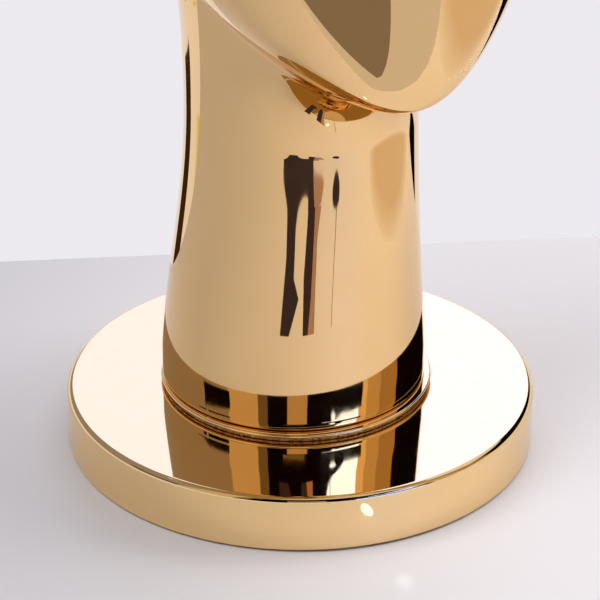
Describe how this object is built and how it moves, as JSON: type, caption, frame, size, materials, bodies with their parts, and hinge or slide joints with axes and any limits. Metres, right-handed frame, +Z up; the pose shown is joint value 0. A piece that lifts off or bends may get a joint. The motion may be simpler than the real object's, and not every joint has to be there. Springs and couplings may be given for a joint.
{
  "type": "display head",
  "caption": "Featureless mirror-gold display head on a flared neck that turns on a round weighted base, for hats, wigs, eyewear or jewellery.",
  "frame": {"origin": "centre of the resting face, the underside of the base's pad", "axes": "+Z up along the neck, the face looks along -Y, +X to the head's left"},
  "size_m": [0.22, 0.2213, 0.3827],
  "materials": {
    "gold_plate": "mirror, gold plated steel",
    "gold_skin": "mirror, gold vacuum plated over moulded resin",
    "cast_iron": "as cast, primed",
    "zinc_steel": "zinc plated",
    "nylon": "natural",
    "fibre": "raw edge",
    "plywood": "raw",
    "resin": "cured laminate",
    "foam": "matt closed-cell pad"
  },
  "bodies": {
    "base": {"base_cover": "gold_plate", "base_weight": "cast_iron", "base_bottom_plate": "zinc_steel", "bottom_plate_screw_1": "zinc_steel", "bottom_plate_screw_2": "zinc_steel", "bottom_plate_screw_3": "zinc_steel", "bottom_plate_screw_4": "zinc_steel", "base_pad": "foam", "pivot_bush": "nylon", "bush_ring_nut": "zinc_steel", "thrust_washer": "nylon", "glide_ring": "fibre"},
    "head": {"pivot_bolt": "zinc_steel", "spring_washer": "zinc_steel", "hub_flange": "zinc_steel", "hub_screw_1": "zinc_steel", "hub_screw_2": "zinc_steel", "hub_screw_3": "zinc_steel", "hub_screw_4": "zinc_steel", "lock_nut": "zinc_steel", "neck_plug": "plywood", "resin_fillet": "resin", "neck_rim": "gold_plate", "head_front_shell": "gold_skin", "head_rear_shell": "gold_skin", "seam_lap_strip": "resin"}
  },
  "joints": [
    {"name": "head_turn", "type": "hinge", "parent": "base", "child": "head", "pos_m": [0, 0.0034, 0.0275], "axis": [0, 0, 1], "continuous": true}
  ]
}
